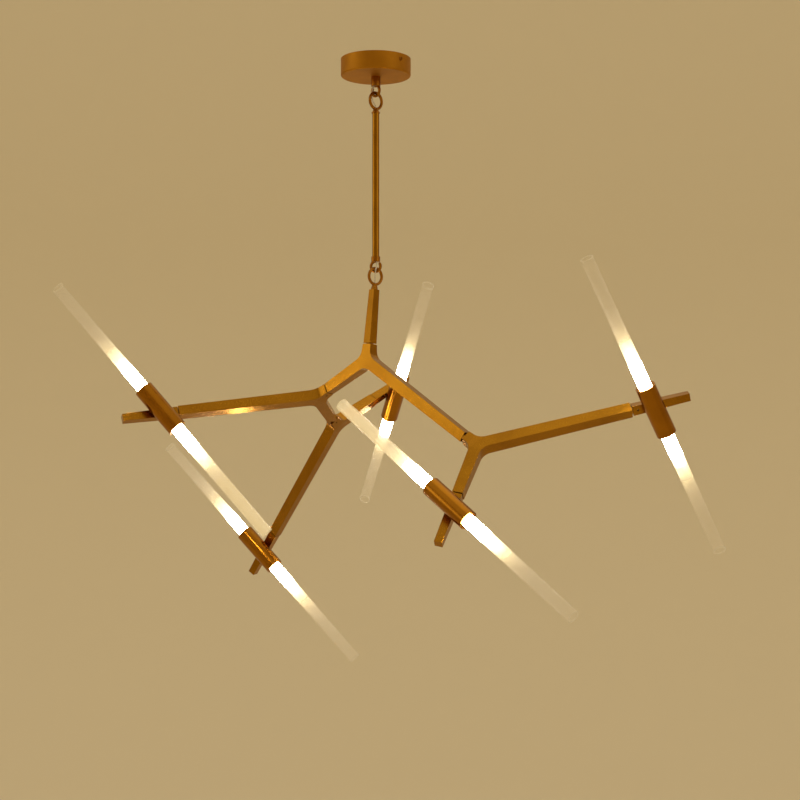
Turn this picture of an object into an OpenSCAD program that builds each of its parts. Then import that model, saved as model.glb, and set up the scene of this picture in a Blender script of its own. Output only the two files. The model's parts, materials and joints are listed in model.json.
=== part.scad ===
// Branching ceiling pendant with five swivelling lamp heads, each with two glass tubes.
// Millimetres. Origin: centre of the ceiling cup's open rim, on the ceiling. Z points up.
// The object hangs straight down, in balance, as it does in a room.

/* [Ceiling cup] */
// Outer diameter of the cup
canopy_d = 120; // [118:1:150]
// Height of the cup
canopy_h = 30; // [29:0.5:45]
// Sheet thickness of the cup
canopy_wall = 1.5; // [1:0.1:2.5]
// Outer rounding at the cup's foot
canopy_round = 3; // [2.6:0.1:5]
// Turn of the strip, the screws and the upper hook about the vertical
ceiling_turn = -45; // [-60:1:-30]

/* [Mounting strip] */
// Width of the strip
strip_w = 20; // [16:1:24]
// Thickness of the strip
strip_t = 2; // [1.5:0.1:3]
// Diameter of the circle through the two ceiling screw holes
strip_pcd = 70; // [60:1:80]
// Diameter of a ceiling screw hole
strip_hole_d = 5; // [4:0.1:6]
// Drop of the turned-down ends
ear_drop = 16; // [14:1:20]
// Depth of the side screws below the ceiling
side_screw_z = 10; // [8:0.5:12]
// Thread diameter of the side screws
side_screw_d = 4; // [3:0.1:5]
// Head diameter of the side screws
side_head_d = 7; // [6:0.1:9]
// Head height of the side screws
side_head_h = 2.4; // [1.5:0.1:3]

/* [Driver and terminals] */
// Length, width and height of the driver box
driver_size = [60, 26, 19]; // [10:1:60]
// Distance from the cup's axis to the driver box
driver_y = 13; // [12:0.5:16]
// Length, width and height of the terminal block
block_size = [36, 16, 14]; // [10:1:40]
// Distance from the cup's axis to the terminal block
block_y = 16; // [15:0.5:20]

/* [Hooks and eyes] */
// Diameter of the wire of every hook and eye
wire_d = 5; // [4:0.1:5.5]
// Middle radius of a hook
hook_r = 8.75; // [8.5:0.05:9.5]
// Bevel at a hook's open end
hook_bevel = 1.2; // [0.8:0.1:1.6]
// Part of a turn that a hook's wire covers
hook_sweep = 305; // [295:1:310]
// Middle radius of an eye
eye_r = 13.75; // [13:0.05:16]
// Free play between a hook and its eye
eye_play = 0.35; // [0.3:0.05:0.6]
// Diameter of the collar under the cup
collar_d = 16; // [15:0.5:20]
// Height of the collar under the cup
collar_h = 16.8; // [15:0.1:20]
// Thickness of a collar's floor, which carries the hook
collar_floor = 4; // [3.5:0.1:5]
// Thread diameter of the stud above the collar
stud_d = 10; // [10:0.5:12]
// Height of the nut on the stud
nut_h = 7; // [5:0.5:8]
// Thickness of the washer under the nut
washer_t = 1.5; // [1:0.1:2]
// Distance from the eye to the top of the part that it stands on
neck_len = 5.3; // [4.5:0.1:8]

/* [Rod] */
// Outer diameter of the rod
rod_d = 12; // [11:0.1:14]
// Bore of the rod
rod_bore = 8; // [7.5:0.1:9]
// Length of the rod
rod_len = 246.5; // [150:0.5:600]
// Height of the collar at the rod's foot
foot_collar_h = 9; // [8.5:0.1:12]
// Diameter of the collar at the rod's foot
foot_collar_d = 15.2; // [15:0.1:18]
// Turn of the lower hook about the vertical
hook_turn = 158; // [140:1:175]
// Turn of the lower eye about the stem
eye_turn = -40; // [-50:1:-30]

/* [Stem] */
// Width of the stem at its top
stem_w_top = 12.5; // [12:0.1:15]
// Width of the stem at its foot
stem_w_foot = 15.9; // [15:0.1:18]
// Length of the stem
stem_len = 92.6; // [60:0.1:150]
// Turn of the stem's faces about its axis
stem_turn = 47; // [0:1:90]
// Lean of the hanging body about X at balance
hang_x = -3.016; // [-6:0.001:6]
// Lean of the hanging body about Y at balance
hang_y = 4.445; // [-6:0.001:6]

/* [Branches] */
// Width of a branch casting at its hub
hub_w = 20.3; // [19:0.1:24]
// Width of a branch casting at each of its ends
end_w = 17.2; // [16.5:0.1:18.5]
// Length of the short arm, from the hub's centre
stub_len = 27.8; // [26:0.1:40]
// Length of the middle arm, from the hub's centre
mid_len = 98.2; // [70:0.1:140]
// Length of the long arm, from the hub's centre
long_len = 250.4; // [180:0.1:320]
// Angle between neighbouring arms
arm_angle = 120; // [115:1:125]
// Radius in the corners between the arms
corner_r = 22; // [10:0.5:28]
// Bore for the wires in arms and stem
wire_bore = 8; // [6:0.1:8.4]

/* [Swivels] */
// Gap that shows between two swivelling parts
seam_gap = 1.6; // [1.2:0.1:2.5]
// Outer diameter of a swivel nipple
nipple_d = 10; // [9.5:0.1:10.5]
// Bore of a swivel nipple
nipple_bore = 6; // [4:0.1:6.2]
// Length of a nipple's threaded or running end
nipple_end = 14; // [13:0.1:18]
// Diameter of a nipple's shoulder
shoulder_d = 13; // [12:0.1:15]
// Clearance between a shoulder and the part that turns on it
shoulder_play = 0.3; // [0.2:0.05:0.5]
// Depth of the groove that a grub screw runs in
groove_depth = 1; // [0.8:0.05:1.2]
// Distance from a seam to its grub screw
grub_z = 7.75; // [7:0.05:9]
// Diameter of a grub screw
grub_d = 3; // [3:0.1:4]
// Radial clearance of a turning nipple
swivel_fit = 0.05; // [0.02:0.01:0.1]

/* [Lamp bars] */
// Width of a lamp bar at its seam
bar_w_seam = 15.9; // [15:0.1:17]
// Width of a lamp bar at its tip
bar_w_tip = 12.7; // [11:0.1:14]
// Length of a lamp bar
bar_len = 93; // [70:0.5:120]
// Distance from a bar's seam to its pivot
pivot_z = 32.7; // [30:0.1:40]
// Bore for the wires in a bar
bar_bore = 7; // [5:0.1:7.4]

/* [Pivots] */
// Diameter of the saddle washer
saddle_d = 14; // [12:0.1:14.4]
// Distance between a bar and its metal tube
saddle_gap = 1.1; // [0.8:0.1:2]
// Clearance under the saddle and the screw's head
saddle_play = 0.25; // [0.2:0.05:0.4]
// Diameter of the pivot screw
pivot_d = 6; // [5:0.1:6.4]
// Diameter of the pivot screw's head
pivot_head_d = 9; // [8:0.1:9.6]
// Depth of the recess for the pivot screw's head
pivot_recess = 2.4; // [2:0.1:2.6]

/* [Tubes, lamps and glass] */
// Outer diameter of a metal tube
tube_d = 32; // [30:0.5:36]
// Length of a metal tube
tube_len = 88; // [80:0.5:110]
// Outer diameter of a glass tube
glass_d = 21; // [19:0.5:25]
// Wall of a glass tube
glass_wall = 1.5; // [1.2:0.1:2]
// Radial clearance between a glass tube and the bore of its metal tube
glass_fit = 0.3; // [0.2:0.05:0.5]
// Distance from a head's middle to the far end of its glass
glass_reach = 274; // [180:1:350]
// Depth of a glass tube in its metal tube
glass_seat = 10; // [8:0.5:14]
// Thickness of a lamp holder's disc
holder_t = 8; // [6:0.5:10]
// Diameter of a lamp
lamp_d = 13; // [10:0.5:14]
// Length of a lamp beyond the metal tube
lamp_reach = 50; // [30:1:80]

/* [Pose] */
// Swivel of the top branch about the stem
top_turn = 39.3; // [0:0.1:90]
// Swivel of the right branch
right_turn = -41.9; // [-90:0.1:0]
// Swivel of the left branch
left_turn = 93.4; // [60:0.1:130]
// Swivel of the low branch
low_turn = -30.7; // [-60:0.1:0]
// Swivels of the five lamp bars: right, front, left, low and back
bar_turns = [151.9, 87.3, -4.1, -3.5, -89.5]; // [-180:0.1:180]
// Tilts of the five metal tubes on their bars, in the same order
tube_tilts = [13.1, -31.3, 27.8, -9.7, -5.1]; // [-40:0.1:40]

/* [Cord] */
// Diameter of the clear cord
cord_d = 2; // [1.6:0.1:2.2]

/* [Hidden] */
gold = "#B8862F";
dark_gold = "#8A5A20";
brass = "#C39B4B";
clear = "#E9E4D8";
frosted = "#FFF6DC";
white = "#F4F1EA";
grey = "#9A9A98";
round_fn = 64;
small_fn = 32;
slack = 0.01;
far = 400;

canopy_r = canopy_d / 2;
cup_floor_z = -canopy_h + canopy_wall;
ear_x = sqrt(pow(canopy_r - canopy_wall, 2) - pow(strip_w / 2, 2));
collar_foot_z = -canopy_h - collar_h;
hook_drop = 2 * hook_r - 1;
swing_top_z = collar_foot_z - hook_drop;
eye_centre = eye_r - wire_d - eye_play;
eye_foot = eye_centre + eye_r;
rod_cap_h = 1.5;
rod_cap_d = 14.8;
rod_seat = eye_foot + wire_d / 2 + neck_len;
rod_top_z = swing_top_z - rod_seat;
rod_foot_z = rod_top_z - rod_len;
swing_low_z = rod_foot_z - foot_collar_h - hook_drop;
plug_len = 10;
stem_start = eye_foot + wire_d / 2 + neck_len + rod_cap_h;
stem_end = stem_start + stem_len;
cord_hole_r = cord_d / 2 + 0.4;
cord_side = 2.95;
stud_top_z = cup_floor_z + washer_t + nut_h + 3;
stud_bore_r = 3;
groove_half = grub_d / 2 + 0.3;
nipple_r = nipple_d / 2;
socket_depth = 1.3;
bar_half_at_pivot = (bar_w_seam - (bar_w_seam - bar_w_tip) * pivot_z / bar_len) / 2;
tube_r = tube_d / 2;
tube_off = bar_half_at_pivot + saddle_gap + tube_r;
glass_r = glass_d / 2;
tube_in_r = glass_r + glass_fit;
glass_in_r = glass_r - glass_wall;
glass_start = tube_len / 2 - glass_seat;
hub = [0, stub_len];
hub_flat = 0.3;

BRANCHES = ["top", "right", "left", "low"];
HEADS = ["right", "front", "left", "low", "back"];

// Frames, from the ceiling down. A swivelling part's frame starts at its seam, with Z along its axis.
module at_ceiling() { rotate([0, 0, ceiling_turn]) children(); }
module at_rod() { translate([0, 0, swing_top_z]) children(); }
module at_low_hook() { translate([0, 0, swing_low_z]) rotate([0, 0, hook_turn]) children(); }
module at_stem() {
    translate([0, 0, swing_low_z]) rotate([hang_x, hang_y, 0]) rotate([180, 0, 0]) children();
}
module at_arm(side) {
    translate([0, 0, stub_len]) rotate([0, side * (180 - arm_angle), 0])
        translate([0, 0, (side > 0 ? long_len : mid_len) + seam_gap]) children();
}
module at_branch(b) {
    if (b == "top")
        at_stem() rotate([0, 0, top_turn]) translate([0, 0, stem_end + seam_gap]) children();
    if (b == "right")
        at_branch("top") at_arm(1) rotate([0, 0, right_turn]) children();
    if (b == "left")
        at_branch("top") at_arm(-1) rotate([0, 0, left_turn]) children();
    if (b == "low")
        at_branch("left") at_arm(-1) rotate([0, 0, low_turn]) children();
}
module at_bar(i) {
    holder = ["right", "right", "left", "low", "low"][i];
    side = [1, -1, 1, 1, -1][i];
    at_branch(holder) at_arm(side) rotate([0, 0, bar_turns[i]]) children();
}
module at_tube(i) {
    at_bar(i) translate([tube_off, 0, pivot_z]) rotate([tube_tilts[i], 0, 0]) children();
}

// Shared shapes
// Square bar along Z that tapers from one width to another.
module taper_bar(w0, w1, len) {
    w = max(w0, w1) + 1;
    outline = [[-w0 / 2, 0], [w0 / 2, 0], [w1 / 2, len], [-w1 / 2, len]];
    intersection() {
        rotate([90, 0, 0]) linear_extrude(w, center = true) polygon(outline);
        rotate([90, 0, 90]) linear_extrude(w, center = true) polygon(outline);
    }
}
// Open hook in the XZ plane. The origin is the middle of the wire at the hook's lowest point.
module hook() {
    open_at = 90 - hook_sweep;
    translate([0, 0, hook_r]) {
        rotate([90, 0, 0]) rotate([0, 0, open_at])
            rotate_extrude(angle = hook_sweep, $fn = round_fn)
                translate([hook_r, 0]) circle(d = wire_d, $fn = small_fn);
        translate([hook_r * cos(open_at), 0, hook_r * sin(open_at)]) rotate([0, 180 - open_at, 0])
            translate([0, 0, -0.3])
                cylinder(d1 = wire_d - 0.4, d2 = wire_d - 2 * hook_bevel, h = hook_bevel + 0.3,
                    $fn = small_fn);
    }
}
// Closed eye in the XZ plane with its neck, hanging in a hook at the origin. Z points down the part.
module eye(neck_foot_d, foot) {
    translate([0, 0, eye_centre]) rotate([90, 0, 0])
        rotate_extrude($fn = round_fn) translate([eye_r, 0]) circle(d = wire_d, $fn = small_fn);
    translate([0, 0, eye_foot])
        cylinder(d1 = wire_d + 3, d2 = neck_foot_d, h = foot - eye_foot, $fn = small_fn);
}
// Collar with a chamber above its floor. The origin is the collar's foot.
module collar(d, h) {
    difference() {
        cylinder(d = d, h = h, $fn = round_fn);
        translate([0, 0, collar_floor]) cylinder(r = d / 2 - 2, h = h - collar_floor - 2, $fn = small_fn);
    }
}
// Grub screw along Z from its tip to its socket.
module grub(len) {
    difference() {
        cylinder(d = grub_d, h = len, $fn = small_fn);
        translate([0, 0, len - socket_depth]) cylinder(d = grub_d / 2, h = socket_depth + 1, $fn = 6);
    }
}
// Hollow nipple at a seam. Z = 0 is the face of the part that turns on it.
module nipple() {
    face = -seam_gap;
    difference() {
        union() {
            translate([0, 0, face - nipple_end])
                cylinder(d = nipple_d, h = 2 * nipple_end + seam_gap, $fn = round_fn);
            translate([0, 0, face])
                cylinder(d = shoulder_d, h = seam_gap - shoulder_play, $fn = round_fn);
        }
        translate([0, 0, face - nipple_end - 1])
            cylinder(d = nipple_bore, h = 2 * nipple_end + seam_gap + 2, $fn = round_fn);
        translate([0, 0, grub_z]) difference() {
            cylinder(d = nipple_d + 2, h = 2 * groove_half, center = true, $fn = round_fn);
            cylinder(r = nipple_r - groove_depth, h = 2 * groove_half + 1, center = true, $fn = round_fn);
        }
    }
}
// Bores at the two kinds of seam: a running bore in the part that turns, a threaded one in its carrier.
module running_bore() {
    translate([0, 0, -1]) cylinder(r = nipple_r + swivel_fit, h = nipple_end + 2, $fn = round_fn);
}
module thread_bore(end_z) {
    translate([0, 0, end_z - nipple_end]) cylinder(r = nipple_r, h = nipple_end + 1, $fn = round_fn);
}
// Smooth tube along a route: one ring of corners at each point, square to the route.
function unit(v) = v / norm(v);
function heading(p, i) = unit(p[min(i + 1, len(p) - 1)] - p[max(i - 1, 0)]);
function side_of(t) = unit(cross(t, abs(t.x) < 0.9 ? [1, 0, 0] : [0, 1, 0]));
module cord_along(p) {
    sides = 8;
    n = len(p);
    corners = [for (i = [0:n - 1]) let (t = heading(p, i), a = side_of(t), b = cross(t, a))
        for (k = [0:sides - 1]) p[i] + cord_d / 2 * (cos(k * 360 / sides) * a + sin(k * 360 / sides) * b)];
    skin = [for (i = [0:n - 2]) for (k = [0:sides - 1]) let (j = (k + 1) % sides)
        each [[i * sides + k, i * sides + j, (i + 1) * sides + j],
              [i * sides + k, (i + 1) * sides + j, (i + 1) * sides + k]]];
    first = [for (k = [1:sides - 2]) [0, k + 1, k]];
    last = [for (k = [1:sides - 2]) [(n - 1) * sides, (n - 1) * sides + k, (n - 1) * sides + k + 1]];
    polyhedron(points = corners, faces = concat(skin, first, last));
}

// Ceiling end
module cup_profile(r, h, edge) {
    square([r - edge, h]);
    translate([0, edge]) square([r, h - edge]);
    translate([r - edge, edge]) circle(edge, $fn = small_fn);
}
module canopy() {
    color(gold) at_ceiling() difference() {
        translate([0, 0, -canopy_h])
            rotate_extrude($fn = 96) cup_profile(canopy_r, canopy_h, canopy_round);
        translate([0, 0, cup_floor_z])
            rotate_extrude($fn = 96)
                cup_profile(canopy_r - canopy_wall, canopy_h, canopy_round - canopy_wall);
        translate([0, 0, -canopy_h - 1]) cylinder(d = stud_d, h = canopy_wall + 2, $fn = round_fn);
        translate([0, 0, -side_screw_z]) rotate([0, 90, 0])
            cylinder(d = side_screw_d, h = canopy_d + 2, center = true, $fn = small_fn);
    }
}
module mounting_bracket() {
    color(grey) at_ceiling() difference() {
        union() {
            translate([-ear_x, -strip_w / 2, -strip_t]) cube([2 * ear_x, strip_w, strip_t]);
            for (s = [-1, 1])
                translate([s * (ear_x - strip_t / 2), 0, -ear_drop / 2])
                    cube([strip_t, strip_w, ear_drop], center = true);
        }
        for (s = [-1, 1])
            translate([s * strip_pcd / 2, 0, -strip_t - 1])
                cylinder(d = strip_hole_d, h = strip_t + 2, $fn = small_fn);
        translate([0, 0, -side_screw_z]) rotate([0, 90, 0])
            cylinder(d = side_screw_d, h = canopy_d, center = true, $fn = small_fn);
    }
}
module canopy_screws() {
    shank = canopy_r - ear_x + strip_t + 2;
    color(brass) at_ceiling() for (s = [0, 180])
        rotate([0, 0, s]) translate([canopy_r, 0, -side_screw_z]) rotate([0, 90, 0]) difference() {
            union() {
                cylinder(d1 = side_head_d, d2 = side_head_d - 2, h = side_head_h, $fn = small_fn);
                translate([0, 0, -shank]) cylinder(d = side_screw_d, h = shank, $fn = small_fn);
            }
            translate([-side_head_d / 2, -0.5, side_head_h - 1]) cube([side_head_d, 1, 2]);
        }
}
module led_driver() {
    edge = 3;
    color(white) at_ceiling() translate([0, driver_y + driver_size.y / 2, cup_floor_z]) {
        linear_extrude(driver_size.z) difference() {
            square([driver_size.x, driver_size.y], center = true);
            for (x = [-1, 1]) for (y = [-1, 1])
                translate([x * driver_size.x / 2, y * driver_size.y / 2])
                    rotate(45) square(edge, center = true);
        }
    }
}
module terminal_block() {
    color(white) at_ceiling() translate([0, -block_y - block_size.y / 2, cup_floor_z]) difference() {
        translate([-block_size.x / 2, -block_size.y / 2, 0]) cube(block_size);
        for (x = [-1, 0, 1]) {
            translate([x * block_size.x / 3, 0, block_size.z / 2]) rotate([90, 0, 0])
                cylinder(r = cord_hole_r, h = block_size.y + 2, center = true, $fn = small_fn);
            translate([x * block_size.x / 3, 0, block_size.z - 4])
                cylinder(r = 2.5, h = 5, $fn = small_fn);
        }
    }
}
module canopy_hook() {
    color(gold) at_ceiling() difference() {
        union() {
            translate([0, 0, collar_foot_z]) collar(collar_d, collar_h);
            translate([0, 0, -canopy_h - slack])
                cylinder(d = stud_d, h = canopy_h + stud_top_z, $fn = round_fn);
            translate([0, 0, swing_top_z]) hook();
        }
        translate([0, 0, -canopy_h - 3]) cylinder(r = stud_bore_r, h = canopy_h + 10, $fn = small_fn);
        translate([-cord_side, -cord_side, collar_foot_z - 1])
            cylinder(r = cord_hole_r, h = collar_floor + 1.5, $fn = small_fn);
    }
}
module hook_washer() {
    color(grey) at_ceiling() translate([0, 0, cup_floor_z]) difference() {
        cylinder(d = stud_d + 10, h = washer_t, $fn = round_fn);
        translate([0, 0, -1]) cylinder(d = stud_d, h = washer_t + 2, $fn = round_fn);
    }
}
module hook_nut() {
    nut_d = (stud_d + 6) / cos(30);
    color(grey) at_ceiling() translate([0, 0, cup_floor_z + washer_t]) difference() {
        cylinder(d = nut_d, h = nut_h, $fn = 6);
        translate([0, 0, -1]) cylinder(d = stud_d, h = nut_h + 2, $fn = round_fn);
    }
}

// Clear cord: from the terminal block, through both pairs of loops, into the stem
TOP_ROUTE = [
    [0, -20, -21.5], [0, -16, -21.5], [0, -13, -20.6], [0, -10.8, -18], [0, -9.6, -14.6],
    [0, -7.4, -11.4], [0, -4.4, -10.2], [0, -1.6, -11.4], [0, -0.2, -14.4], [0, 0, -18],
    [0, 0, -24], [0, 0, -30], [0, 0, -34.5], [-0.5, -0.5, -37], [-1.7, -1.7, -39.6],
    [-2.7, -2.7, -42], [-3, -3, -46], [-3.3, -3.8, -51], [-3.8, -5.2, -55.5],
    [-4.1, -6.2, -60], [-3.8, -6.3, -64.5], [-3.1, -5.5, -69], [-2.1, -4, -73.5],
    [-1, -2.1, -77.5], [-0.2, -0.5, -80.8], [0, 0, -84], [0, 0, -88.5], [0, 0, -93]
];
LOW_ROUTE = [
    [0, 0, 30], [0, 0, 26.5], [-0.15, 0.15, 25.2], [-0.7, 0.7, 23.8], [-1.8, 1.8, 22.4],
    [-2.75, 2.75, 21], [-3, 3, 18],
    [-3.3, 3.9, 13], [-3.3, 5.2, 8.5], [-3.1, 6.1, 4.5], [-2.5, 6.3, 0.5], [-1.7, 5.7, -3.5],
    [-0.8, 4.5, -7.5], [0, 3.1, -11.5], [0.6, 2, -15]
];
// Direction of the stem, in the lower hook's frame
lean = [-cos(hang_x) * sin(hang_y), sin(hang_x), -cos(hang_x) * cos(hang_y)];
stem_dir = [lean.x * cos(hook_turn) + lean.y * sin(hook_turn),
            lean.y * cos(hook_turn) - lean.x * sin(hook_turn), lean.z];
stem_stops = [19, 24, 32, 45, 65, 90, stem_end - nipple_end - 1];
module cord_top() { color(clear) at_ceiling() cord_along(TOP_ROUTE); }
module cord_rod() {
    foot = swing_low_z + LOW_ROUTE[0].z;
    top = TOP_ROUTE[len(TOP_ROUTE) - 1].z;
    color(clear) translate([0, 0, foot]) cylinder(d = cord_d, h = top - foot, $fn = small_fn);
}
module cord_low() {
    color(clear) at_low_hook() cord_along(concat(LOW_ROUTE, [for (s = stem_stops) s * stem_dir]));
}

// Rod
module rod_eye() {
    color(gold) at_rod() at_ceiling() rotate([180, 0, 90]) difference() {
        union() {
            eye(rod_cap_d - 2, rod_seat - rod_cap_h);
            translate([0, 0, rod_seat - rod_cap_h]) cylinder(d = rod_cap_d, h = rod_cap_h, $fn = round_fn);
            translate([0, 0, rod_seat]) cylinder(d = rod_bore, h = plug_len, $fn = round_fn);
        }
        translate([0, 0, eye_centre]) cylinder(r = cord_hole_r, h = far, $fn = small_fn);
    }
}
module drop_rod() {
    color(gold) translate([0, 0, rod_foot_z]) difference() {
        cylinder(d = rod_d, h = rod_len, $fn = round_fn);
        translate([0, 0, -1]) cylinder(d = rod_bore, h = rod_len + 2, $fn = round_fn);
    }
}
module rod_hook() {
    color(gold) at_low_hook() difference() {
        union() {
            translate([0, 0, hook_drop]) collar(foot_collar_d, foot_collar_h);
            translate([0, 0, hook_drop + foot_collar_h - slack])
                cylinder(d = rod_bore, h = plug_len + slack, $fn = round_fn);
            hook();
        }
        translate([0, 0, hook_drop + foot_collar_h - 3])
            cylinder(r = 3, h = plug_len + 5, $fn = small_fn);
        translate([-cord_side, cord_side, hook_drop - 1])
            cylinder(r = cord_hole_r, h = collar_floor + 1.5, $fn = small_fn);
    }
}

// Stem
module stem_eye() {
    color(gold) at_stem() rotate([0, 0, eye_turn]) difference() {
        union() {
            eye(stem_w_top, stem_start);
            translate([0, 0, stem_start - slack]) cylinder(d = wire_bore, h = plug_len, $fn = round_fn);
        }
        translate([0, 0, eye_centre]) cylinder(r = cord_hole_r, h = far, $fn = small_fn);
    }
}
module stem_bar() {
    color(gold) at_stem() rotate([0, 0, stem_turn]) difference() {
        translate([0, 0, stem_start]) taper_bar(stem_w_top, stem_w_foot, stem_len);
        cylinder(d = wire_bore, h = far, $fn = round_fn);
        thread_bore(stem_end);
    }
}
module stem_nipple() {
    color(brass) at_stem() translate([0, 0, stem_end + seam_gap]) nipple();
}

// Branch casting, in its own XZ plane: short arm to its seam at the origin, long arm to +X
arm_dirs = [180, 180 - arm_angle, arm_angle - 180];
arm_lens = [stub_len, long_len, mid_len];
function dir2(a) = [sin(a), cos(a)];
function left2(v) = [-v.y, v.x];
// Edge of an arm as a unit normal and its distance: s = 1 for the arm's left edge, -1 for its right
function edge_line(k, s) = let (
    u = dir2(arm_dirs[k]),
    n = s * left2(u),
    m = unit(n + u * (hub_w - end_w) / 2 / arm_lens[k])
) [m, m * (hub + n * hub_w / 2)];
function meet(a, b) = let (det = a[0].x * b[0].y - a[0].y * b[0].x)
    [(a[1] * b[0].y - b[1] * a[0].y) / det, (a[0].x * b[1] - b[0].x * a[1]) / det];
// Middle of the rounding between two arms. It cuts into both edges by a hair, so nothing is tangent.
function corner_mid(k, j) = let (a = edge_line(k, -1), b = edge_line(j, 1), r = corner_r - 0.02)
    meet([a[0], a[1] + r], [b[0], b[1] + r]);
function foot_on(line, p) = p + line[0] * (line[1] - p * line[0]);
CORNERS = [[0, 2], [2, 1], [1, 0]];
function arm_end(k, s) = let (u = dir2(arm_dirs[k])) hub + u * arm_lens[k] + s * left2(u) * end_w / 2;
star = [for (c = CORNERS) let (m = corner_mid(c[0], c[1])) each [
    arm_end(c[0], 1), arm_end(c[0], -1), foot_on(edge_line(c[0], -1), m), m, foot_on(edge_line(c[1], 1), m)
]];
// Wedge that gives the casting its taper in thickness along one arm
module arm_wedge(k) {
    slope = (hub_w - end_w) / 2 / arm_lens[k];
    back = long_len + 20;
    front = arm_lens[k] + 1;
    a = hub_w / 2 + slope * back;
    b = hub_w / 2 - slope * front;
    translate([0, 0, stub_len]) rotate([0, arm_dirs[k], 0])
        rotate([90, 0, 90]) linear_extrude(2 * back, center = true)
            polygon([[-a, -back], [a, -back], [b, front], [-b, front]]);
}
module branch() {
    difference() {
        intersection() {
            rotate([90, 0, 0]) linear_extrude(hub_w - hub_flat, center = true) polygon(star);
            arm_wedge(0);
            arm_wedge(1);
            arm_wedge(2);
        }
        for (c = CORNERS) let (m = corner_mid(c[0], c[1])) translate([m.x, 0, m.y]) rotate([90, 0, 0])
            cylinder(r = corner_r, h = hub_w + 4, center = true, $fn = 96);
        cylinder(d = wire_bore, h = stub_len, $fn = round_fn);
        running_bore();
        translate([0, 0, grub_z]) rotate([90, 0, 0]) cylinder(d = grub_d, h = hub_w, $fn = small_fn);
        translate([0, 0, stub_len]) rotate([90, 0, 0]) rotate([0, 0, 90])
            cylinder(d = wire_bore + 2, h = wire_bore + 1, center = true, $fn = small_fn);
        translate([0, 0, stub_len]) for (k = [1, 2]) rotate([0, arm_dirs[k], 0]) {
            cylinder(d = wire_bore, h = arm_lens[k], $fn = round_fn);
            thread_bore(arm_lens[k]);
        }
    }
}
grub_tip = nipple_r - groove_depth + 0.3;
module branch_nipples() { for (side = [-1, 1]) at_arm(side) nipple(); }
module branch_grub() {
    face = (end_w + (hub_w - end_w) * grub_z / stub_len) / 2;
    translate([0, -grub_tip, grub_z]) rotate([90, 0, 0]) grub(face - 1.2 - grub_tip);
}

// Lamp head. The tube sits on the bar's +X face and turns about the pivot.
module bar() {
    difference() {
        taper_bar(bar_w_seam, bar_w_tip, bar_len);
        running_bore();
        cylinder(d = bar_bore, h = pivot_z + bar_bore / 2, $fn = round_fn);
        translate([0, 0, grub_z]) rotate([0, 90, 0]) cylinder(d = grub_d, h = bar_w_seam, $fn = small_fn);
        translate([0, 0, pivot_z]) rotate([0, 90, 0]) {
            cylinder(r = pivot_d / 2 + swivel_fit, h = bar_w_seam, center = true, $fn = small_fn);
            translate([0, 0, -bar_w_seam])
                cylinder(d = pivot_head_d + 0.8, h = bar_w_seam - bar_half_at_pivot + pivot_recess,
                    $fn = small_fn);
        }
    }
}
module bar_grub() {
    face = (bar_w_seam - (bar_w_seam - bar_w_tip) * grub_z / bar_len) / 2;
    translate([grub_tip, 0, grub_z]) rotate([0, 90, 0]) grub(face - 0.9 - grub_tip);
}
// Saddle washer against the metal tube and hollow pivot screw, whose end is tapped into the tube
module pivot(tilt) {
    head_in = -bar_half_at_pivot + pivot_recess - saddle_play;
    head_out = -bar_half_at_pivot + 0.4;
    tip = tube_off - tube_in_r + 3;
    translate([0, 0, pivot_z]) {
        difference() {
            translate([bar_half_at_pivot + saddle_play, 0, 0]) rotate([0, 90, 0])
                cylinder(d = saddle_d, h = tube_r / 2, $fn = round_fn);
            translate([tube_off, 0, 0]) rotate([tilt - 90, 0, 0])
                cylinder(r = tube_r, h = far, center = true, $fn = round_fn);
            rotate([0, 90, 0]) cylinder(r = pivot_d / 2 + 0.15, h = far, $fn = small_fn);
        }
        difference() {
            union() {
                translate([head_out, 0, 0]) rotate([0, 90, 0])
                    cylinder(d = pivot_head_d, h = head_in - head_out, $fn = small_fn);
                translate([head_out, 0, 0]) rotate([0, 90, 0])
                    cylinder(d = pivot_d, h = tip - head_out, $fn = small_fn);
            }
            translate([head_out - 1, 0, 0]) rotate([0, 90, 0])
                cylinder(r = 1.6, h = far, $fn = small_fn);
        }
    }
}
// Metal tube along Y, with the hole for its pivot screw
module tube() {
    difference() {
        rotate([90, 0, 0]) cylinder(r = tube_r, h = tube_len, center = true, $fn = round_fn);
        rotate([90, 0, 0]) cylinder(r = tube_in_r, h = tube_len + 2, center = true, $fn = round_fn);
        rotate([0, -90, 0]) cylinder(d = pivot_d, h = tube_d, $fn = small_fn);
    }
}
module lamps() {
    for (s = [-90, 90]) rotate([s, 0, 0]) {
        translate([0, 0, glass_start - holder_t])
            cylinder(r = tube_in_r, h = holder_t, $fn = round_fn);
        translate([0, 0, glass_start - slack])
            cylinder(r = glass_in_r, h = glass_seat + slack, $fn = round_fn);
        translate([0, 0, glass_start])
            cylinder(d = lamp_d, h = glass_seat + lamp_reach - lamp_d / 2, $fn = small_fn);
        translate([0, 0, tube_len / 2 + lamp_reach - lamp_d / 2]) sphere(d = lamp_d, $fn = small_fn);
    }
}
module glass() {
    for (s = [-90, 90]) rotate([s, 0, 0]) translate([0, 0, glass_start]) difference() {
        cylinder(r = glass_r, h = glass_reach - glass_start, $fn = round_fn);
        translate([0, 0, -1]) cylinder(r = glass_in_r, h = glass_reach - glass_start + 2, $fn = round_fn);
    }
}

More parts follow.
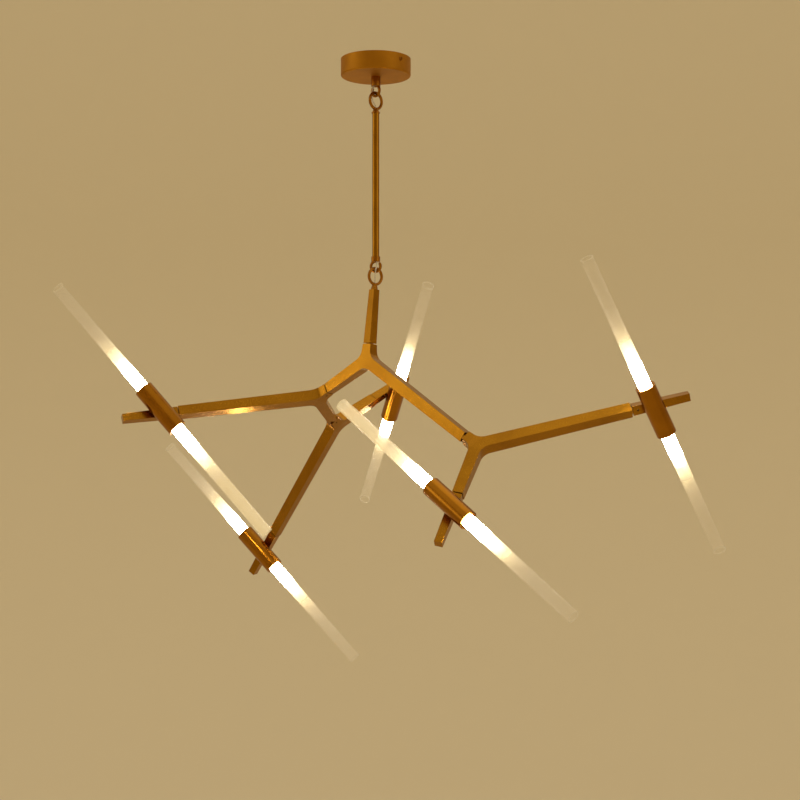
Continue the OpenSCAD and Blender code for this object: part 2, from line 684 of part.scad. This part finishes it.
canopy();
mounting_bracket();
canopy_screws();
led_driver();
terminal_block();
canopy_hook();
hook_washer();
hook_nut();
cord_top();
rod_eye();
drop_rod();
rod_hook();
cord_rod();
stem_eye();
stem_bar();
stem_nipple();
cord_low();
for (b = BRANCHES) {
    color(gold) at_branch(b) branch();
    color(dark_gold) at_branch(b) branch_nipples();
    color(dark_gold) at_branch(b) branch_grub();
}
for (i = [0:len(HEADS) - 1]) {
    h = HEADS[i];
    color(gold) at_bar(i) bar();
    color(dark_gold) at_bar(i) bar_grub();
    color(brass) at_bar(i) pivot(tube_tilts[i]);
    color(gold) at_tube(i) tube();
    color(white) at_tube(i) lamps();
    color(frosted, 0.5) at_tube(i) glass();
}
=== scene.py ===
"""Looks of the branching pendant light: camera, lights, materials and two curved cord loops."""

import json
import math

import bpy
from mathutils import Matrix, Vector


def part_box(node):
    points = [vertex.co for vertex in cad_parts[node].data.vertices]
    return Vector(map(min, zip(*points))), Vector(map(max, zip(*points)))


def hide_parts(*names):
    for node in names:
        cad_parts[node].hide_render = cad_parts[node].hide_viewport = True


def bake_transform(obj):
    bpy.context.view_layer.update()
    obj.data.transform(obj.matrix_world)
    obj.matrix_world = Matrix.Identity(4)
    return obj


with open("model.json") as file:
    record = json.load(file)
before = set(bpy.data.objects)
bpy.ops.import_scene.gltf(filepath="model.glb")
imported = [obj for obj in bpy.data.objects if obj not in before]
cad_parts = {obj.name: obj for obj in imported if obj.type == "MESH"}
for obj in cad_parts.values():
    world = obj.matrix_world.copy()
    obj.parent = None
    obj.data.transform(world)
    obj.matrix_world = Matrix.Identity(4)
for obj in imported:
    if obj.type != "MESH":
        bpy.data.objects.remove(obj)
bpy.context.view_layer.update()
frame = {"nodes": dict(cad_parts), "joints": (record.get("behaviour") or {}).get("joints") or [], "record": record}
nodes = frame["nodes"]
scene = bpy.context.scene

# Camera: the photograph's place and angle of view, fitted to the seams and tube ends
IMAGE_PX = 800
FOCAL_PX = 1431.19
SENSOR_MM = 36.0
CAMERA_PLACE = (0.04156, -2.44261, -0.64376)
CAMERA_PITCH = 1.376
FAR_CLIP = 60.0
camera_data = bpy.data.cameras.new("camera")
camera_data.sensor_width = SENSOR_MM
camera_data.lens = FOCAL_PX / IMAGE_PX * SENSOR_MM
camera_data.clip_end = FAR_CLIP
camera = bpy.data.objects.new("camera", camera_data)
camera.location = CAMERA_PLACE
camera.rotation_euler = (math.radians(90 + CAMERA_PITCH), 0.0, 0.0)
scene.collection.objects.link(camera)
scene.camera = camera


# Small helpers for node trees
def new_material(name):
    """A Principled material with its tree, its shader and the object coordinates."""
    mat = bpy.data.materials.new(name)
    mat.use_nodes = True
    tree = mat.node_tree
    shader = tree.nodes["Principled BSDF"]
    coords = tree.nodes.new("ShaderNodeTexCoord").outputs["Object"]
    return mat, tree, shader, coords


def noise(tree, vector, scale, detail=3.0, roughness=0.55):
    n = tree.nodes.new("ShaderNodeTexNoise")
    n.inputs["Scale"].default_value = scale
    n.inputs["Detail"].default_value = detail
    n.inputs["Roughness"].default_value = roughness
    tree.links.new(vector, n.inputs["Vector"])
    return n.outputs["Fac"]


def ramp(tree, value, stops):
    """A colour ramp with (position, colour) stops."""
    n = tree.nodes.new("ShaderNodeValToRGB")
    elements = n.color_ramp.elements
    while len(elements) < len(stops):
        elements.new(0.5)
    for element, (position, colour) in zip(elements, stops):
        element.position = position
        element.color = (*colour, 1.0)
    tree.links.new(value, n.inputs["Fac"])
    return n.outputs["Color"]


def remap(tree, value, low, high, to_low, to_high):
    n = tree.nodes.new("ShaderNodeMapRange")
    n.inputs["From Min"].default_value = low
    n.inputs["From Max"].default_value = high
    n.inputs["To Min"].default_value = to_low
    n.inputs["To Max"].default_value = to_high
    tree.links.new(value, n.inputs["Value"])
    return n.outputs["Result"]


def maths(tree, operation, a, b):
    """A math node; a and b are numbers or sockets."""
    n = tree.nodes.new("ShaderNodeMath")
    n.operation = operation
    for socket, value in zip(n.inputs, (a, b)):
        if isinstance(value, (int, float)):
            socket.default_value = value
        else:
            tree.links.new(value, socket)
    return n.outputs["Value"]


def vector_maths(tree, operation, a, b, output="Vector"):
    """A vector math node between a socket and a constant vector."""
    n = tree.nodes.new("ShaderNodeVectorMath")
    n.operation = operation
    tree.links.new(a, n.inputs[0])
    n.inputs[1].default_value = b
    return n.outputs[output]


def bump(tree, shader, height, strength, distance, bevel=0.0):
    """Bump from a height, over softened edges where bevel is a radius."""
    n = tree.nodes.new("ShaderNodeBump")
    n.inputs["Strength"].default_value = strength
    n.inputs["Distance"].default_value = distance
    tree.links.new(height, n.inputs["Height"])
    if bevel:
        b = tree.nodes.new("ShaderNodeBevel")
        b.samples = 4
        b.inputs["Radius"].default_value = bevel
        tree.links.new(b.outputs["Normal"], n.inputs["Normal"])
    tree.links.new(n.outputs["Normal"], shader.inputs["Normal"])


def two_tone(tree, shader, value, low, high, socket="Base Color"):
    """Two (position, colour) stops along a value, into one of the shader's colours."""
    tree.links.new(ramp(tree, value, [low, high]), shader.inputs[socket])


def vary_roughness(tree, shader, value, low, high, smooth, rough):
    """Roughness from smooth to rough as the value goes from low to high."""
    tree.links.new(remap(tree, value, low, high, smooth, rough), shader.inputs["Roughness"])


# Metals
def satin_metal(name, light, dark, rough, bevel=0.0006, grain=900.0, streaks=None):
    """Satin plated metal: slight clouds in tone, fine grain in roughness and bump, soft edges."""
    mat, tree, shader, coords = new_material(name)
    clouds = noise(tree, coords, scale=18.0, detail=4.0)
    two_tone(tree, shader, clouds, (0.3, dark), (0.7, light))
    vector = coords
    if streaks:
        m = tree.nodes.new("ShaderNodeMapping")
        m.inputs["Scale"].default_value = streaks
        tree.links.new(coords, m.inputs["Vector"])
        vector = m.outputs["Vector"]
    fine = noise(tree, vector, scale=grain, detail=2.0, roughness=0.6)
    vary_roughness(tree, shader, fine, 0.25, 0.75, rough - 0.05, rough + 0.06)
    shader.inputs["Metallic"].default_value = 1.0
    bump(tree, shader, fine, strength=0.12, distance=0.0002, bevel=bevel)
    return mat


GOLD_LIGHT, GOLD_DARK = (0.360, 0.160, 0.009), (0.287, 0.122, 0.007)
TUBE_LIGHT, TUBE_DARK = (0.370, 0.148, 0.009), (0.295, 0.113, 0.007)
CUP_LIGHT, CUP_DARK = (0.460, 0.200, 0.013), (0.370, 0.155, 0.010)
FITTING_LIGHT, FITTING_DARK = (0.350, 0.140, 0.013), (0.280, 0.108, 0.010)
# Bronze of the nipples and pivots: partly the metal's own tone, partly painted shade of the seam gaps
SEAM_SHADE_BRONZE_LIGHT, SEAM_SHADE_BRONZE_DARK = (0.240, 0.110, 0.030), (0.175, 0.078, 0.022)
STEEL_LIGHT, STEEL_DARK = (0.520, 0.520, 0.510), (0.440, 0.440, 0.430)
OXIDE_LIGHT, OXIDE_DARK = (0.060, 0.055, 0.050), (0.040, 0.036, 0.032)
TURNED_STREAKS = (1.0, 1.0, 14.0)
gold_arms = satin_metal("gold_arms", GOLD_LIGHT, GOLD_DARK, 0.24)
gold_tubes = satin_metal("gold_tubes", TUBE_LIGHT, TUBE_DARK, 0.21, bevel=0.0004)
gold_cup = satin_metal("gold_cup", CUP_LIGHT, CUP_DARK, 0.54, streaks=TURNED_STREAKS, grain=400.0)
gold_fittings = satin_metal("gold_fittings", FITTING_LIGHT, FITTING_DARK, 0.27, bevel=0.0003)
# Nipples and pivots: darker bronze, partly painted shade in the seam gaps
seam_shade_bronze = satin_metal("seam_shade_bronze", SEAM_SHADE_BRONZE_LIGHT, SEAM_SHADE_BRONZE_DARK, 0.34, bevel=0.0002)
steel = satin_metal("steel", STEEL_LIGHT, STEEL_DARK, 0.32, bevel=0.0002)
black_oxide = satin_metal("black_oxide", OXIDE_LIGHT, OXIDE_DARK, 0.38, bevel=0.0001)


# Plastic and lamps
def moulded(name, colour, rough):
    """Moulded plastic with a faint orange peel."""
    mat, tree, shader, coords = new_material(name)
    peel = noise(tree, coords, scale=600.0, detail=2.0)
    dark = tuple(0.93 * c for c in colour)
    two_tone(tree, shader, noise(tree, coords, scale=60.0), (0.3, dark), (0.7, colour))
    vary_roughness(tree, shader, peel, 0.3, 0.7, rough - 0.05, rough + 0.05)
    bump(tree, shader, peel, strength=0.1, distance=0.0001)
    return mat


def lamp_material():
    """A frosted LED lamp that glows warm white, a little uneven like its diffuser."""
    mat, tree, shader, coords = new_material("lamp_glow")
    cloud = noise(tree, coords, scale=120.0, detail=2.0)
    two_tone(tree, shader, cloud, (0.2, (0.93, 0.90, 0.82)), (0.8, (0.97, 0.95, 0.90)))
    warm, pale = (0.2, (1.0, 0.80, 0.52)), (0.8, (1.0, 0.86, 0.62))
    two_tone(tree, shader, cloud, warm, pale, "Emission Color")
    shader.inputs["Emission Strength"].default_value = 2.5
    shader.inputs["Roughness"].default_value = 0.4
    return mat


plastic = moulded("white_plastic", (0.80, 0.79, 0.76), 0.45)
lamp = lamp_material()

# Glass, by distance in metres from the middle of its head: the share that one surface hides, and
# the painted glow, the lamps' light through the frosting painted into the glass as emission
GLASS_FROM, GLASS_TO = 0.080, 0.280
GLASS_BODY = [
    (0.096, 1.0), (0.106, 0.62), (0.116, 0.42), (0.131, 0.26),
    (0.159, 0.15), (0.190, 0.11), (0.230, 0.075), (0.274, 0.045),
]
# Painted glow along the glass: white by the metal, fading off towards the end
GLASS_GLOW = [
    (0.082, (1.0, 0.90, 0.72)), (0.091, (0.060, 0.052, 0.037)),
    (0.106, (0.0150, 0.0125, 0.0078)), (0.116, (0.0140, 0.0116, 0.0068)),
    (0.131, (0.0085, 0.0069, 0.0036)), (0.159, (0.0035, 0.0026, 0.0015)),
    (0.190, (0.0010, 0.00075, 0.00045)),
]
# Strength of the painted glow, high enough to throw painted light and highlights onto the metal nearby
GLOW_STRENGTH = 48.0
# A tube's outline hides more, since the ray runs along the wall there, and so does the cut end
EDGE_BLEND, EDGE_POWER, EDGE_COVER = 0.25, 4.0, 0.22
RIM_FROM, RIM_TO, RIM_COVER = 0.2733, 0.2739, 0.20
# Halves with the lit inside painted on to their ends: head, end of its glass, share that one surface hides
PAINTED_LIT_HALVES = {"left": ("b", 0.25), "front": ("a", 0.32)}
# Painted glow of the lit inside on those halves
PAINTED_LIT_HALF_GLOW = (0.00525, 0.0039, 0.0016)


def along_glass(tree, distance, stops):
    """A ramp whose stops stand at distances from the middle of the head."""
    length = GLASS_TO - GLASS_FROM
    t = remap(tree, distance, GLASS_FROM, GLASS_TO, 0.0, 1.0)
    return ramp(tree, t, [((d - GLASS_FROM) / length, colour) for d, colour in stops])


def painted_lit_half(tree, coords, centre, direction, cover, glow, body):
    """Painted glow and cover of a tube whose half towards direction has its lit inside painted on to its end."""
    offset = vector_maths(tree, "SUBTRACT", coords, centre)
    forward = vector_maths(tree, "DOT_PRODUCT", offset, direction, "Value")
    side = maths(tree, "GREATER_THAN", forward, 0.0)
    lighten = tree.nodes.new("ShaderNodeMix")
    lighten.data_type = "RGBA"
    lighten.blend_type = "LIGHTEN"
    tree.links.new(side, lighten.inputs["Factor"])
    tree.links.new(glow, lighten.inputs["A"])
    lighten.inputs["B"].default_value = (*PAINTED_LIT_HALF_GLOW, 1.0)
    body = maths(tree, "MAXIMUM", body, maths(tree, "MULTIPLY", side, cover))
    return lighten.outputs["Result"], body


def glass_material(name, centre, painted_half=None):
    """Frosted glass with a painted glow, white by the metal; it fades to a pale warm white and ends nearly clear.

    The last argument, if given, is the direction and cover of a half with the lit inside painted on to its end."""
    mat, tree, shader, coords = new_material(name)
    distance = vector_maths(tree, "DISTANCE", coords, centre, "Value")
    glow = along_glass(tree, distance, GLASS_GLOW)
    body = along_glass(tree, distance, [(d, (a, a, a)) for d, a in GLASS_BODY])
    # A half with the lit inside painted on gets more painted glow and cover
    if painted_half:
        glow, body = painted_lit_half(tree, coords, centre, *painted_half, glow, body)
    # The painted glow goes in as the glass's emission
    tree.links.new(glow, shader.inputs["Emission Color"])
    shader.inputs["Emission Strength"].default_value = GLOW_STRENGTH

    cloud = noise(tree, coords, scale=90.0, detail=3.0)
    two_tone(tree, shader, cloud, (0.2, (0.88, 0.83, 0.72)), (0.8, (0.95, 0.91, 0.82)))
    frost = noise(tree, coords, scale=1400.0, detail=2.0)
    vary_roughness(tree, shader, frost, 0.25, 0.75, 0.24, 0.36)
    bump(tree, shader, frost, strength=0.06, distance=0.0001)

    facing = tree.nodes.new("ShaderNodeLayerWeight")
    facing.inputs["Blend"].default_value = EDGE_BLEND
    slant = maths(tree, "POWER", facing.outputs["Facing"], EDGE_POWER)
    edge = maths(tree, "MULTIPLY", slant, EDGE_COVER)
    rim = remap(tree, distance, RIM_FROM, RIM_TO, 0.0, RIM_COVER)
    cover = maths(tree, "ADD", maths(tree, "ADD", body, edge), rim)
    clamp = tree.nodes.new("ShaderNodeClamp")
    tree.links.new(cover, clamp.inputs["Value"])
    tree.links.new(clamp.outputs["Result"], shader.inputs["Alpha"])
    return mat


def clear_cord_material():
    """Clear PVC jacket over thin tinned wire."""
    mat, tree, shader, coords = new_material("clear_cord")
    strands = noise(tree, coords, scale=700.0, detail=2.0)
    two_tone(tree, shader, strands, (0.35, (0.42, 0.34, 0.24)), (0.65, (0.78, 0.74, 0.66)))
    vary_roughness(tree, shader, strands, 0.3, 0.7, 0.10, 0.22)
    shader.inputs["Coat Weight"].default_value = 0.6
    bump(tree, shader, strands, strength=0.1, distance=0.0001)
    return mat


cord_material = clear_cord_material()


# Every CAD node gets its material
def dress(material, *names):
    for name in names:
        mesh = nodes[name].data
        mesh.materials.clear()
        mesh.materials.append(material)


def mouth_centre(head, end):
    """Middle of the stated opening at one end of a head's glass."""
    for opening in frame["record"]["physics"]["openings"]:
        if opening["name"] == f"glass_mouth_{head}_{end}":
            low, high = opening["box_m"]
            return (Vector(low) + Vector(high)) / 2


BRANCHES = ("top", "right", "left", "low")
HEADS = ("right", "front", "left", "low", "back")
dress(gold_cup, "canopy")
dress(gold_fittings, "canopy_hook", "rod_eye", "rod_hook", "stem_eye", "canopy_screws")
dress(gold_arms, "drop_rod", "stem_bar")
dress(steel, "mounting_bracket", "hook_washer", "hook_nut")
dress(plastic, "led_driver", "terminal_block")
dress(seam_shade_bronze, "stem_nipple")
dress(cord_material, "cord_rod")
for b in BRANCHES:
    dress(gold_arms, b + "_branch")
    dress(seam_shade_bronze, b + "_nipples")
    dress(black_oxide, b + "_grub")
for h in HEADS:
    dress(gold_arms, h + "_bar")
    dress(black_oxide, h + "_bar_grub")
    dress(seam_shade_bronze, h + "_pivot")
    dress(gold_tubes, h + "_tube")
    dress(lamp, h + "_lamps")
    low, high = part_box(h + "_tube")
    middle = (low + high) / 2
    # Two tubes get a half with the lit inside painted on to its end
    painted_half = None
    if h in PAINTED_LIT_HALVES:
        end, cover = PAINTED_LIT_HALVES[h]
        painted_half = (mouth_centre(h, end) - middle).normalized(), cover
    dress(glass_material(h + "_frosted_glass", middle, painted_half), h + "_glass")

# Floor and backdrop: one bowl with a curved foot, far enough out for every view
BOWL_RADIUS = 9.0
FOOT_RADIUS = 3.5
FOOT_STEPS = 12
BOWL_TURNS = 96
FLOOR_Z = -2.6
WALL_TOP = 5.0
SAND = (0.765, 0.69, 0.518, 1.0)


def bowl_rings():
    """Radius and height of the bowl's rings, from the foot's inner edge to the top of the wall."""
    rings = []
    for i in range(FOOT_STEPS + 1):
        a = math.radians(90 * i / FOOT_STEPS)
        rings.append((
            BOWL_RADIUS - FOOT_RADIUS + FOOT_RADIUS * math.sin(a),
            FLOOR_Z + FOOT_RADIUS - FOOT_RADIUS * math.cos(a),
        ))
    rings.append((BOWL_RADIUS, WALL_TOP))
    return rings


def make_bowl():
    rings = bowl_rings()
    verts, faces = [(0.0, 0.0, FLOOR_Z)], []
    for r, z in rings:
        for k in range(BOWL_TURNS):
            a = 2 * math.pi * k / BOWL_TURNS
            verts.append((r * math.cos(a), r * math.sin(a), z))
    for k in range(BOWL_TURNS):
        faces.append((0, 1 + k, 1 + (k + 1) % BOWL_TURNS))
    for i in range(len(rings) - 1):
        a = 1 + i * BOWL_TURNS
        b = a + BOWL_TURNS
        for k in range(BOWL_TURNS):
            j = (k + 1) % BOWL_TURNS
            faces.append((a + k, b + k, b + j, a + j))
    mesh = bpy.data.meshes.new("floor")
    mesh.from_pydata(verts, [], faces)
    mesh.shade_smooth()
    obj = bpy.data.objects.new("floor", mesh)
    scene.collection.objects.link(obj)
    return obj


floor = make_bowl()
floor_material, _, floor_shader, _ = new_material("pale_sand")
floor_shader.inputs["Base Color"].default_value = SAND
floor_shader.inputs["Roughness"].default_value = 0.95
floor_shader.inputs["Specular IOR Level"].default_value = 0.1
floor.data.materials.append(floor_material)

# Light: a soft plain studio, a little warm
WORLD_COLOUR = (1.0, 0.84, 0.60, 1.0)
WORLD_STRENGTH = 0.75
LIGHT_COLOUR = (1.0, 0.96, 0.90)
LIGHT_TARGET = Vector((0.0, 0.0, -0.6))
world = bpy.data.worlds.new("world")
scene.world = world
world.use_nodes = True
background = world.node_tree.nodes["Background"]
background.inputs["Color"].default_value = WORLD_COLOUR
background.inputs["Strength"].default_value = WORLD_STRENGTH


def area_light(name, place, size, power):
    """A round soft light that looks at the middle of the lamp and stays out of sight."""
    data = bpy.data.lights.new(name, "AREA")
    data.shape = "DISK"
    data.size = size
    data.energy = power
    data.color = LIGHT_COLOUR
    obj = bpy.data.objects.new(name, data)
    obj.location = place
    obj.visible_camera = False
    obj.rotation_euler = (LIGHT_TARGET - Vector(place)).to_track_quat("-Z", "Y").to_euler()
    scene.collection.objects.link(obj)


area_light("key", (-5.2, -0.9, 0.8), size=3.0, power=30.0)
area_light("fill", (4.2, -2.6, 0.9), size=2.8, power=18.0)
area_light("top", (0.3, 0.8, 4.2), size=4.6, power=25.0)

# Clear cord: the two loops bend across the hooks, along the route that the solids have, in
# millimetres from the ceiling or from the lower hook
TOP_ROUTE = [
    (0, -20, -21.5), (0, -16, -21.5), (0, -13, -20.6), (0, -10.8, -18), (0, -9.6, -14.6),
    (0, -7.4, -11.4), (0, -4.4, -10.2), (0, -1.6, -11.4), (0, -0.2, -14.4), (0, 0, -18),
    (0, 0, -24), (0, 0, -30), (0, 0, -34.5), (-0.5, -0.5, -37), (-1.7, -1.7, -39.6),
    (-2.7, -2.7, -42), (-3, -3, -46), (-3.3, -3.8, -51), (-3.8, -5.2, -55.5),
    (-4.1, -6.2, -60), (-3.8, -6.3, -64.5), (-3.1, -5.5, -69), (-2.1, -4, -73.5),
    (-1, -2.1, -77.5), (-0.2, -0.5, -80.8), (0, 0, -84), (0, 0, -88.5), (0, 0, -93),
]
LOW_ROUTE = [
    (0, 0, 30), (0, 0, 26.5), (-0.15, 0.15, 25.2), (-0.7, 0.7, 23.8), (-1.8, 1.8, 22.4),
    (-2.75, 2.75, 21), (-3, 3, 18), (-3.3, 3.9, 13), (-3.3, 5.2, 8.5), (-3.1, 6.1, 4.5),
    (-2.5, 6.3, 0.5), (-1.7, 5.7, -3.5), (-0.8, 4.5, -7.5), (0, 3.1, -11.5), (0.6, 2, -15),
]
STEM_STEPS = (19, 24, 32, 45, 65, 90, 108)
CEILING_TURN, HOOK_TURN = -45, 158
CORD_RADIUS = 0.001
CORD_SIDES = 12
CURVE_STEPS = 4


def turned(points, angle, up):
    """Route points in millimetres, turned about Z and raised, in metres."""
    c, s = math.cos(math.radians(angle)), math.sin(math.radians(angle))
    return [Vector((x * c - y * s, x * s + y * c, z + up)) / 1000 for x, y, z in points]


def smooth_path(points):
    """Catmull-Rom curve through the points."""
    out = []
    for i in range(len(points) - 1):
        p0, p1 = points[max(i - 1, 0)], points[i]
        p2, p3 = points[i + 1], points[min(i + 2, len(points) - 1)]
        for k in range(CURVE_STEPS):
            t = k / CURVE_STEPS
            out.append(0.5 * (
                2 * p1 + (p2 - p0) * t + (2 * p0 - 5 * p1 + 4 * p2 - p3) * t * t
                + (3 * p1 - p0 - 3 * p2 + p3) * t * t * t
            ))
    return [*out, points[-1]]


def cord_mesh(name, path):
    """A closed round tube along the path."""
    n = CORD_SIDES
    last = len(path) - 1
    verts, faces = [], []
    side = Vector((1, 0, 0))
    for i, p in enumerate(path):
        t = (path[min(i + 1, last)] - path[max(i - 1, 0)]).normalized()
        side = (side - t * side.dot(t)).normalized()
        other = t.cross(side)
        for k in range(n):
            a = 2 * math.pi * k / n
            verts.append(p + CORD_RADIUS * (math.cos(a) * side + math.sin(a) * other))
    for i in range(last):
        for k in range(n):
            j = (k + 1) % n
            faces.append((i * n + k, i * n + j, (i + 1) * n + j, (i + 1) * n + k))
    faces.append(tuple(reversed(range(n))))
    faces.append(tuple(last * n + k for k in range(n)))
    mesh = bpy.data.meshes.new(name)
    mesh.from_pydata(verts, [], faces)
    mesh.shade_smooth()
    mesh.materials.append(cord_material)
    obj = bpy.data.objects.new(name, mesh)
    scene.collection.objects.link(obj)
    return obj


joint_place = {j["name"]: Vector(j["pos_m"]) for j in frame["joints"]}
pivot = joint_place["stem_swing"]
stem_line = (joint_place["top_swivel"] - pivot).normalized()
top_cord = cord_mesh("cord_loop_top", smooth_path(turned(TOP_ROUTE, CEILING_TURN, 0)))
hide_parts("cord_top")
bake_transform(top_cord)

# The lower loop runs on along the stem
low_points = turned(LOW_ROUTE, HOOK_TURN, pivot.z * 1000)
low_points += [pivot + stem_line * s / 1000 for s in STEM_STEPS]
low_cord = cord_mesh("cord_loop_low", smooth_path(low_points))
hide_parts("cord_low")
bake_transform(low_cord)

scene.view_settings.view_transform = "Standard"
